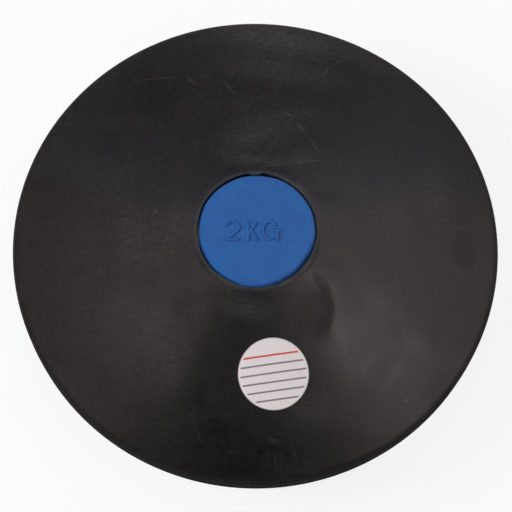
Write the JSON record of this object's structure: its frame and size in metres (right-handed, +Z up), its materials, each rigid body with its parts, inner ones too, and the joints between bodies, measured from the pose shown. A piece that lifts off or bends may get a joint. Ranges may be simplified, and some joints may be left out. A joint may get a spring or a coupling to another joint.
{
  "type": "discus",
  "caption": "Round throwing discus: a black rubber double-cone body with an upright rim, a coloured plug glued into each face and a steel weight plate moulded inside.",
  "frame": {"origin": "centre of the lower centre plug's face, on the surface that the discus rests on", "axes": "+Z up along the spin axis, +X and +Y in the rest plane, with the round label on the -Y side of the upper face"},
  "size_m": [0.22, 0.22, 0.045],
  "materials": {
    "black_rubber": "satin",
    "core_steel": "satin",
    "blue_rubber": "matte",
    "contact_glue": "gloss",
    "label_paper": "matte"
  },
  "bodies": {
    "root": {"rubber_body": "black_rubber", "steel_core": "core_steel", "upper_centre_plug": "blue_rubber", "upper_glue_film": "contact_glue", "lower_centre_plug": "blue_rubber", "lower_glue_film": "contact_glue", "round_label": "label_paper"}
  },
  "joints": []
}
